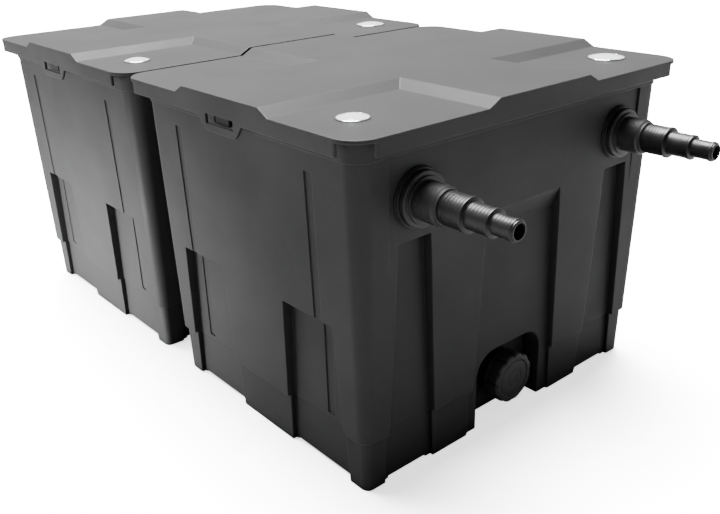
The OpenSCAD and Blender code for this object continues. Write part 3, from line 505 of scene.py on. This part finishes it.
def hose_tail(side):
    """Backing ring and flange, then a matt collar, then three ribbed steps with a sealing lip each."""
    node = "inlet_hose_tail_" + side
    low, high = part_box(node)
    middle = centre_of(node)
    seat = Vector((high[0] - TAIL_REACH * MM, middle.y, middle.z))
    axis = (1, 0, 0)
    flange = [(16, -26), (22.6, -26), (22.6, 3), (34.7, 3), (34.7, 5.5), (31.5, 5.5), (31.5, 7), (33, 7),
              (33, 12), (32, 13), (27.5, 13), (27.5, 16), (23, 16), (16, 16)]
    lathe("tail_flange_" + side, flange, seat, axis, "collar_plastic", "casing", 0.5,
          replaces=(node,))
    collar = [(16.2, 15.5), (22.9, 15.5), (22.9, 17), *ribs(22.7, 17.5, 39.5, 2.4, 0.2), (23, 40),
              (23, 41.5), (21.0, 44), (20.6, 44.6), (20.6, 46.8), (18.0, 47.4), (16.2, 47.4)]
    lathe("tail_collar_" + side, collar, seat, axis, "collar_plastic", "casing", 0.35)
    points = [(14, 46.5), (17.8, 46.5)]
    start = 48.5
    for radius, end in TAIL_LIPS:
        body = radius - LIP_HEIGHT
        points += ribs(body - 0.1, start, end - LIP_WIDTH - 1, 4.2, 0.1)
        points += [(body, end - LIP_WIDTH - 0.6), (radius, end - LIP_WIDTH), (radius, end)]
        start = end + 0.6
    points += [(11.4, 139.5), (11.1, 141), (10.2, TAIL_REACH), (8.6, TAIL_REACH), (8.6, 107), (11, 104),
               (11, 75), (14, 68)]
    lathe("tail_steps_" + side, points, seat, axis, "pipe_plastic", "casing", 0.3)


def outlet_pipe(side):
    """Flange with a gripping edge, then a 63 mm step and a 50 mm step with fine ribs."""
    node = "outlet_pipe_" + side
    low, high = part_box(node)
    middle = centre_of(node)
    seat = Vector((low[0] + PIPE_REACH * MM, middle.y, middle.z))
    points = [(21, -22), (29.6, -22), (29.6, 3), (38, 3), (38, 9.5), (36.5, 11), (31.2, 11), (31.2, 13),
              *ribs(31.0, 14, 74, 2.9, 0.45), (31.5, 75), (31.5, 78), (25, 82),
              *ribs(24.5, 83, 137, 2.9, 0.45), (25, 138), (25, 141.5), (23.5, PIPE_REACH),
              (21, PIPE_REACH)]

    def grips(angle, radius, s):
        return -0.9 * max(0, math.cos(24 * angle)) ** 4 if radius > 37 else 0

    lathe("outlet_pipe_body_" + side, points, seat, (-1, 0, 0), "pipe_plastic", "casing", 0.35, 144, grips,
          (node,))


def drain_cap(side, sign):
    """Screw cap with convex lobes round it and a flat disc set in its face."""
    node = side + "_drain_cap"
    low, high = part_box(node)
    middle = centre_of(node)
    outer = high[0] if sign > 0 else low[0]
    origin = Vector((outer, middle.y, middle.z))
    rim = 36.4

    def lobes(angle, radius, s):
        return -2.6 * (1 - abs(math.sin(CAP_LOBES * angle / 2)) ** 0.55) if radius > 33.2 else 0

    points = [(0, -4.7), (27.2, -4.7), (27.2, -24.9), (rim - 0.8, -24.9), (rim, -24.0), (rim, -20.5),
              (rim - 0.7, -20), (rim - 0.7, -19.4), (rim, -18.9), (rim, -3.4), (rim - 1.0, -1.4),
              (rim - 2.8, -0.5), (30, 0), (27.7, 0), (27.2, -1.3), (26.3, -1.3), (25.8, -0.4), (14, -0.2),
              (13.4, -0.7), (12.6, -0.7), (12, -0.2), (0, -0.2)]
    lathe(node + "_body", points, origin, (sign, 0, 0), "cap_plastic", node, 0.45, 192, lobes, (node,))


# ---- windows, indicators and thermometer ----

DOME_RISE = 3.5                 # how far a lens bulges above its disc, in millimetres
DOME_BASE = 1.5                 # thickness of the disc
DOME_SHELL = 2.0                # thickness of the bulge
DOME_STEPS = 14
BODY_OF_BOX = {"inlet": "inlet_lid", "outlet": "outlet_lid"}


def window(box_name, side):
    """Clear lens on a thin disc, with a collar through the lid and a polished ring round it."""
    node = box_name + "_window_" + side
    low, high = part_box(node)
    middle = centre_of(node)
    reach = (high[0] - low[0]) / MM / 2
    r = reach - 1
    origin = Vector((middle.x, middle.y, high[2]))
    base = -DOME_RISE
    ball = (r * r + DOME_RISE ** 2) / (2 * DOME_RISE)
    inner_r = r - 3.5
    outer, inner = [], []
    for k in range(DOME_STEPS + 1):
        x = r * (1 - k / DOME_STEPS)
        outer.append((x, math.sqrt(ball ** 2 - x ** 2) - ball))
        x = inner_r * k / DOME_STEPS
        inner.append((x, math.sqrt((ball - DOME_SHELL) ** 2 - x ** 2) - ball))
    foot = (low[2] - high[2]) / MM
    points = [(reach, base - DOME_BASE), (reach, base - 0.3), (reach - 0.3, base), *outer, *inner,
              (inner_r, foot), (r - 1.65, foot), (r - 1.65, base - DOME_BASE)]
    body = BODY_OF_BOX[box_name]
    rings = (box_name + "_window_rings",)
    lathe(node + "_lens", points, origin, (0, 0, 1), "clear_plastic", body, 0, 128, replaces=(node,))
    ring = [(reach + 0.15, base - DOME_BASE), (reach + 1.6, base - DOME_BASE), (reach + 1.5, base - 0.3),
            (reach + 0.9, base + 0.1), (reach + 0.15, base + 0.1)]
    lathe(node + "_ring", ring, origin, (0, 0, 1), "ring_metal", body, 0.25, 128, replaces=rings)


def indicator(kind, material):
    """Float with a waist of fine grooves, a slim stem, and a crowned flag that shows under the window."""
    node = kind + "_indicator_float"
    low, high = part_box(node)
    middle = centre_of(node)
    flag = (high[0] - low[0]) / MM / 2
    tall = (high[2] - low[2]) / MM
    origin = Vector((middle.x, middle.y, low[2]))
    float_r = 11.0
    points = [(0, 0), (float_r - 1.5, 0), (float_r, 1.5), *ribs(float_r - 0.5, 4, 42, 3.2, 0.45),
              (float_r, 44.5), (float_r - 1.5, 46), (4.5, 46), (3, 49), (3, tall - 14), (4.5, tall - 9),
              (flag - 1, tall - 9), (flag, tall - 8), (flag, tall - 2.5), (flag - 1.2, tall - 1),
              (0.7 * flag, tall - 0.3), (0, tall)]
    body = kind + "_indicator"
    lathe(node + "_body", points, origin, (0, 0, 1), material, body, 0.35, replaces=(node,))


def thermometer():
    """Dial with a dark ring, tick marks and a pointer, and a steel probe that hangs in the water."""
    node = "thermometer_dial"
    low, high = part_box(node)
    middle = centre_of(node)
    reach = (high[0] - low[0]) / MM / 2
    origin = Vector((middle.x, middle.y, high[2]))
    up = (0, 0, 1)
    ring_out = 13.2
    body = "outlet_lid"
    dial = [(0, -9), (reach - 1, -9), (reach, -8), (reach, -3.2), (ring_out - 0.2, -3.2),
            (ring_out - 0.4, -2.4), (10.2, -2.4), (0, -2.4)]
    lathe("thermometer_dial_body", dial, origin, up, "dial_white", body, 0.3, replaces=(node,))
    ring = [(10.4, -2.6), (ring_out, -2.6), (ring_out, -0.6), (ring_out - 0.8, -0.1), (11.2, -0.1),
            (10.4, -0.9)]
    lathe("thermometer_dial_ring", ring, origin, up, "dial_dark", body, 0.2)
    ticks = []
    for k in range(25):
        angle = math.radians(-130 + 260 * k / 24)
        length = 2.2 if k % 4 == 0 else 1.2
        ticks.append(bar(origin, angle, 9.6 - length, 9.6, 0.16, -2.45, -2.25))
    ticks.append(bar(origin, math.radians(24), -2.5, 8.4, 0.42, -2.2, -1.8))
    verts, faces = join_parts(ticks)
    add_piece("thermometer_dial_marks", verts, faces, "dial_dark", body)
    hub = [(0, -2.5), (1.5, -2.5), (1.5, -1.5), (0, -1.3)]
    lathe("thermometer_dial_hub", hub, origin, up, "steel", body, 0.2, 32)
    low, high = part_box("thermometer_probe")
    tall = (high[2] - low[2]) / MM
    place = centre_of("thermometer_probe")
    points = [(0, 0), (1.4, 0.3), (2.7, 1.6), (3.2, 4), (3.2, tall - 20),
              *ribs(3.0, tall - 34, tall - 16, 2, 0.5), (3.2, tall - 13), (7, tall - 12),
              (8, tall - 11), (8, tall - 1), (7.4, tall), (0, tall)]
    lathe("thermometer_probe_body", points, Vector((place.x, place.y, low[2])), up, "steel", body, 0.2, 48,
          replaces=("thermometer_probe",))


def bar(origin, angle, start, end, half, low, high):
    """A thin straight mark on a dial, from start to end along a direction, in millimetres."""
    along = Vector((math.sin(angle), math.cos(angle), 0))
    across = Vector((math.cos(angle), -math.sin(angle), 0))
    verts = []
    for level in (low, high):
        for reach, side in ((start, -1), (end, -1), (end, 1), (start, 1)):
            corner = along * reach + across * half * side + Vector((0, 0, level))
            verts.append(Vector(origin) + corner * MM)
    faces = [(0, 1, 2, 3), (4, 7, 6, 5), (0, 4, 5, 1), (1, 5, 6, 2), (2, 6, 7, 3), (3, 7, 4, 0)]
    return verts, faces


# ---- latches ----

POST_OUT = 22                   # latch posts stand this far from the middle of a slot
POST_HALF = 1.6                 # half their width
POST_DEPTH = (2.5, 7.0)         # from and to, behind the tub's face
POST_LEVEL = (9.8, 21.0)        # from and to, above the foot of the lid


def latch_posts():
    """Two small rounded posts beside each catch of the tubs, seen through the ends of the latch slot."""
    for box_name in ("inlet", "outlet"):
        low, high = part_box(box_name + "_tub")
        lid_low, lid_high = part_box(box_name + "_lid")
        mid_x = (lid_low[0] + lid_high[0]) / 2
        for side, face in (("front", low[1]), ("rear", high[1])):
            inward = 1 if side == "front" else -1
            blocks = []
            for step in (-1, 1):
                x = mid_x + step * POST_OUT * MM
                ys = sorted(face + inward * depth * MM for depth in POST_DEPTH)
                corner_low = (x - POST_HALF * MM, ys[0], lid_low[2] + POST_LEVEL[0] * MM)
                corner_high = (x + POST_HALF * MM, ys[1], lid_low[2] + POST_LEVEL[1] * MM)
                blocks.append(rounded_block(corner_low, corner_high, 0.8 * MM, 0.5 * MM))
            verts, faces = join_parts(blocks)
            add_piece(box_name + "_latch_posts_" + side, verts, faces, "tub_plastic", "casing")


# ---- filter media ----

BALL_D = 36.0                   # bio balls' diameter
BALL_PITCH = 37.2               # and the distance between them


def foam_cartridge(k):
    """Block of open foam between two plates on a handle that lifts it out."""
    node = f"foam_block_{k}"
    body = f"foam_cartridge_{k}"
    material = "foam_blue" if k in (1, 4) else "foam_dark"
    low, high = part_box(node)
    verts, faces = rounded_block(low, high, 5 * MM, 5 * MM, 1.6 * MM, k)
    block = add_piece(f"foam_block_soft_{k}", verts, faces, material, body, (node,))
    puller(k, body)


def puller(k, body):
    """Two ribbed plates that hold the foam between them, on a shaft with a grip."""
    node = f"foam_puller_{k}"
    low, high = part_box(node)
    middle = centre_of(node)
    x, y = middle.x, middle.y
    foam_low, foam_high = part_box(f"foam_block_{k}")
    head = foam_high[2] + 0.6 * MM
    bottom = low[2]
    plates = []
    for width, depth, level in ((150, 210, bottom), (90, 130, head)):
        corner_low = (x - width * MM / 2, y - depth * MM / 2, level)
        corner_high = (x + width * MM / 2, y + depth * MM / 2, level + 4 * MM)
        plates.append(rounded_block(corner_low, corner_high, 1.2 * MM, 4 * MM))
    for step in (-1, 1):
        for along_x in (True, False):
            reach = (38, 2) if along_x else (2, 56)
            offset = (0, step * 40) if along_x else (step * 26, 0)
            corner_low = [x + (offset[0] - reach[0]) * MM, y + (offset[1] - reach[1]) * MM, head + 3 * MM]
            corner_high = [x + (offset[0] + reach[0]) * MM, y + (offset[1] + reach[1]) * MM, head + 9 * MM]
            plates.append(rounded_block(corner_low, corner_high, 1 * MM, 3 * MM))
    verts, faces = join_parts(plates)
    add_piece(f"puller_plates_{k}", verts, faces, "handle_orange", body, (node,))
    grip_z = high[2] - 8 * MM
    tall = (grip_z - bottom) / MM
    shaft_top = (head - bottom) / MM
    shaft = [(0, 0), (7.6, 0), (7.6, shaft_top + 2), (11, shaft_top + 4), (11, shaft_top + 9),
             (7.6, shaft_top + 14), (6.6, tall - 14), (8, tall - 7), (8, tall), (0, tall)]
    lathe(f"puller_shaft_{k}", shaft, Vector((x, y, bottom)), (0, 0, 1), "handle_orange", body, 1.0, 48)
    grip(f"puller_grip_{k}", Vector((x, y, grip_z)), (0, 1, 0), 48, 8.0, 4, "handle_orange", body)


def grip(name, middle, axis, half, radius, fingers, material, body):
    """A rounded bar with shallow finger hollows."""
    points = [(0, -half)]
    count = 48
    for i in range(count + 1):
        s = -half + 2 * half * i / count
        end = min(1.0, (half - abs(s)) / 5)
        hollow = 0.5 - 0.5 * math.cos(2 * math.pi * fingers * (s + half) / (2 * half))
        points.append(((radius - 1.2 * hollow) * math.sqrt(max(0.0, 1 - (1 - end) ** 2)), s))
    points.append((0, half))
    lathe(name, points, middle, axis, material, body, 0, 40)


def filter_mat(node, material, seed):
    """Soft mat with an uneven surface and rounded edges."""
    low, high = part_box(node)
    verts, faces = rounded_block(low, high, 7 * MM, 6 * MM, 3.0 * MM, seed)
    mat = add_piece(node + "_soft", verts, faces, material, "casing", (node,))


def ball_mesh():
    """One bio ball about the origin: hoops round two axes, each a thin flat ring."""
    parts = []
    radius = BALL_D / 2 * MM
    for latitude in (-0.62, 0, 0.62):
        parts.append(hoop(radius * math.cos(latitude), radius * math.sin(latitude), (0, 0, 1), radius))
    for k in range(4):
        angle = math.pi * k / 4
        parts.append(hoop(radius, 0, (math.cos(angle), math.sin(angle), 0), radius))
    return join_parts(parts)


def hoop(radius, shift, axis, outer, segments=20):
    """A thin flat ring round an axis, shifted along it."""
    along, u, v = frame_along(axis)
    inner = 0.62 * radius
    half = 0.035 * outer
    verts = []
    rim = radius - 0.02 * outer
    for reach, level in ((inner, -half), (rim, -half), (rim, half), (inner, half)):
        for k in range(segments):
            angle = 2 * math.pi * k / segments
            verts.append(along * (shift + level) + (u * math.cos(angle) + v * math.sin(angle)) * reach)
    faces = []
    for i in range(4):
        j = (i + 1) % 4
        for k in range(segments):
            m = (k + 1) % segments
            faces.append((i * segments + k, i * segments + m, j * segments + m, j * segments + k))
    return verts, faces


def bio_balls(side):
    """The balls of one basket, packed in rows, each turned its own way."""
    node = "bio_balls_" + side
    low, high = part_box(node)
    draw = random.Random(SEED if side == "front" else SEED + 1)
    counts = [1 + round(((high[i] - low[i]) / MM - BALL_D) / BALL_PITCH) for i in range(3)]
    one_verts, one_faces = ball_mesh()
    first = Vector(low) + Vector((BALL_D / 2,) * 3) * MM
    parts = []
    for i in range(counts[0]):
        for j in range(counts[1]):
            for k in range(counts[2]):
                place = first + Vector((i, j, k)) * BALL_PITCH * MM
                turn = Euler([draw.uniform(0, math.pi) for _ in range(3)]).to_matrix()
                parts.append(([turn @ v + place for v in one_verts], one_faces))
    verts, faces = join_parts(parts)
    add_piece(node + "_open", verts, faces, "ball_blue", side + "_basket", (node,))


def basket_handle(side):
    """Bail with rounded eyes, flat arms and a bar with a finger grip."""
    node = "basket_handle_" + side
    body = side + "_basket_handle"
    low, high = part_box(node)
    middle_z = (low[2] + high[2]) / 2
    bar_y = high[1] - 5 * MM
    pivot_y = low[1] + 8 * MM
    middle_x = (low[0] + high[0]) / 2
    arms = []
    for outer, inward in ((low[0], 1), (high[0], -1)):
        xs = sorted((outer, outer + inward * 4 * MM))
        corner_low = (xs[0], pivot_y, middle_z - 5 * MM)
        corner_high = (xs[1], bar_y + 5 * MM, middle_z + 5 * MM)
        arms.append(rounded_block(corner_low, corner_high, 1.2 * MM, 2.0 * MM))
        rib_low = (xs[0] + 1 * MM, pivot_y + 12 * MM, middle_z - 6.2 * MM)
        rib_high = (xs[1] - 1 * MM, bar_y - 10 * MM, middle_z + 6.2 * MM)
        arms.append(rounded_block(rib_low, rib_high, 0.6 * MM, 2.0 * MM))
    verts, faces = join_parts(arms)
    add_piece(node + "_arms", verts, faces, "handle_orange", body, (node,))
    for tag, outer, inward in (("low", low[0], 1), ("high", high[0], -1)):
        eye = [(0, 0), (7, 0), (8, 0.8), (8, 3.2), (7, 4), (4.9, 4), (4.9, 12.4), (0, 12.4)]
        pivot = Vector((outer, pivot_y, middle_z))
        lathe(f"{node}_eye_{tag}", eye, pivot, (inward, 0, 0), "handle_orange", body, 0.3, 48)
    length = (high[0] - low[0]) / MM / 2
    rod = [(0, -length), (4.2, -length), (5, -length + 1), (5, -52), (6.6, -47),
           *ribs(6.2, -44, 44, 5.5, 0.5), (6.6, 47), (5, 52), (5, length - 1), (4.2, length), (0, length)]
    middle = Vector((middle_x, bar_y, middle_z))
    lathe(node + "_bar", rod, middle, (1, 0, 0), "handle_orange", body, 0.5, 40)


def build_pieces():
    """Everything that stands for a CAD node, or adds to one."""
    for side in ("front", "rear"):
        hose_tail(side)
        outlet_pipe(side)
        bio_balls(side)
        basket_handle(side)
        for box_name in ("inlet", "outlet"):
            window(box_name, side)
    drain_cap("inlet", 1)
    drain_cap("outlet", -1)
    indicator("dirt", "float_red")
    indicator("flow", "float_white")
    indicator("level", "float_cream")
    thermometer()
    latch_posts()
    for k in (1, 2, 3, 4):
        foam_cartridge(k)
    filter_mat("coarse_mat", "mat_green", 11)
    filter_mat("fine_mat", "mat_dark", 17)


build_pieces()


# ---- stage, light and camera ----

SKY = 0.56                      # the even light of the studio
DARK_SKY = 0.12                 # the same from its open, unlit side
DARK_SIDE = (0.72, -0.69, 0.0)  # which lies toward the box's front corner
BACKDROP = 12.0                 # how bright the white sweep behind the object looks
FLOOR_TONE = 0.22               # how much light the floor sends back to the object
FLOOR_SEEN = 1.8                # the same in the picture, where the sweep is overexposed
FLOOR_GLOW = 1.6                # light of the sweep's own, which thins the shadows
KEY = 34.0                      # strength of the large overhead light
KEY_SPREAD = 40                 # its apparent width in degrees
KEY_FROM = (-0.40, 0.14, 1.3)   # it stands on this side of the object
REAR_PANEL = 1.5                # wide panel behind, which shows as sheen on the lids
REAR_PANEL_FROM = (-3.2, 1.6, 1.5)
REAR_PANEL_TO = (0, 0, 0.45)
REAR_PANEL_SIZE = (2.4, 2.0)
LOW_PANEL = 11.0                # low panel in front of the outlet box
LOW_PANEL_FROM = (-0.35, -1.0, 0.08)
LOW_PANEL_TO = (-0.32, -0.29, 0.03)
LOW_PANEL_SIZE = (0.5, 0.15)
LOW_PANEL_SPREAD = 70           # width of its beam in degrees


def area_light(name, place, target, size, power):
    """A rectangular lamp that points at a target and doesn't show in the picture."""
    data = bpy.data.lights.new(name, "AREA")
    data.shape = "RECTANGLE"
    data.size, data.size_y = size
    data.energy = power
    light = bpy.data.objects.new(name, data)
    bpy.context.scene.collection.objects.link(light)
    light.location = place
    light.rotation_euler = (Vector(target) - Vector(place)).to_track_quat("-Z", "Y").to_euler()
    light.visible_camera = False
    return light


def seen_and_lit(tree, seen, lit, surface):
    """Joins two shaders: the first is what the picture shows, the second what the light meets."""
    mix = tree.nodes.new("ShaderNodeMixShader")
    path = tree.nodes.new("ShaderNodeLightPath")
    tree.links.new(path.outputs["Is Camera Ray"], mix.inputs[0])
    tree.links.new(lit, mix.inputs[1])
    tree.links.new(seen, mix.inputs[2])
    tree.links.new(mix.outputs[0], surface)


def build_floor():
    """The white sweep that the filter stands on."""
    s = Shader("stage_floor").set(Roughness=0.9)
    s.bsdf.inputs["Base Color"].default_value = (FLOOR_TONE, FLOOR_TONE, FLOOR_TONE, 1)
    white = s.tree.nodes.new("ShaderNodeBsdfDiffuse")
    white.inputs["Color"].default_value = (FLOOR_SEEN, FLOOR_SEEN, FLOOR_SEEN, 1)
    glow = s.tree.nodes.new("ShaderNodeEmission")
    glow.inputs["Strength"].default_value = FLOOR_GLOW
    both = s.tree.nodes.new("ShaderNodeAddShader")
    s.link(white.outputs[0], both.inputs[0])
    s.link(glow.outputs[0], both.inputs[1])
    surface = s.tree.nodes["Material Output"].inputs["Surface"]
    seen_and_lit(s.tree, both.outputs[0], s.bsdf.outputs[0], surface)
    bpy.ops.mesh.primitive_plane_add(size=60, location=(0, 0, 0))
    floor = bpy.context.object
    floor.name = "floor"
    floor.data.materials.append(s.material)


def build_sky():
    """Even white light that fades toward the camera's side of the studio."""
    world = bpy.data.worlds.new("studio")
    bpy.context.scene.world = world
    world.use_nodes = True
    tree = world.node_tree
    sky = tree.nodes["Background"]
    sky.inputs["Color"].default_value = (1, 1, 1, 1)
    coords = tree.nodes.new("ShaderNodeTexCoord").outputs["Generated"]
    toward = tree.nodes.new("ShaderNodeVectorMath")
    toward.operation = "DOT_PRODUCT"
    toward.inputs[1].default_value = DARK_SIDE
    tree.links.new(coords, toward.inputs[0])
    fade = tree.nodes.new("ShaderNodeMapRange")
    fade.inputs["From Min"].default_value = 0.1
    fade.inputs["From Max"].default_value = 0.9
    fade.inputs["To Min"].default_value = SKY
    fade.inputs["To Max"].default_value = DARK_SKY
    tree.links.new(toward.outputs["Value"], fade.inputs["Value"])
    tree.links.new(fade.outputs["Result"], sky.inputs["Strength"])
    backdrop = tree.nodes.new("ShaderNodeBackground")
    backdrop.inputs["Strength"].default_value = BACKDROP
    surface = tree.nodes["World Output"].inputs["Surface"]
    seen_and_lit(tree, backdrop.outputs[0], sky.outputs[0], surface)


def build_lamps():
    key = bpy.data.lights.new("key", "SUN")
    key.energy = KEY
    key.angle = math.radians(KEY_SPREAD)
    sun = bpy.data.objects.new("key", key)
    bpy.context.scene.collection.objects.link(sun)
    sun.rotation_euler = Vector(KEY_FROM).to_track_quat("Z", "Y").to_euler()
    area_light("rear_panel", REAR_PANEL_FROM, REAR_PANEL_TO, REAR_PANEL_SIZE, REAR_PANEL)
    panel = area_light("left_panel", LOW_PANEL_FROM, LOW_PANEL_TO, LOW_PANEL_SIZE, LOW_PANEL)
    panel.data.spread = math.radians(LOW_PANEL_SPREAD)


CAMERA_AT = Vector((1.0912, -0.7903, 0.6736))
CAMERA_AIM = Vector((0.3021, -0.1321, 0.2264))
CAMERA_ROLL = -1.75             # in degrees
CAMERA_LENS = 42.1              # for a sensor 36 mm wide


def build_camera():
    """Stands where the picture was taken from: a little above the lids, off the near inlet corner."""
    roll = math.radians(CAMERA_ROLL)
    forward = (CAMERA_AIM - CAMERA_AT).normalized()
    side = forward.cross(Vector((0, 0, 1))).normalized()
    above = side.cross(forward)
    right = side * math.cos(roll) + above * math.sin(roll)
    up = right.cross(forward)
    data = bpy.data.cameras.new("camera")
    data.lens = CAMERA_LENS
    data.sensor_width = 36
    data.clip_start = 0.01
    camera = bpy.data.objects.new("camera", data)
    bpy.context.scene.collection.objects.link(camera)
    turn = Matrix((right, up, -forward)).transposed().to_4x4()
    camera.matrix_world = Matrix.Translation(CAMERA_AT) @ turn
    bpy.context.scene.camera = camera


build_floor()
build_sky()
build_lamps()
build_camera()
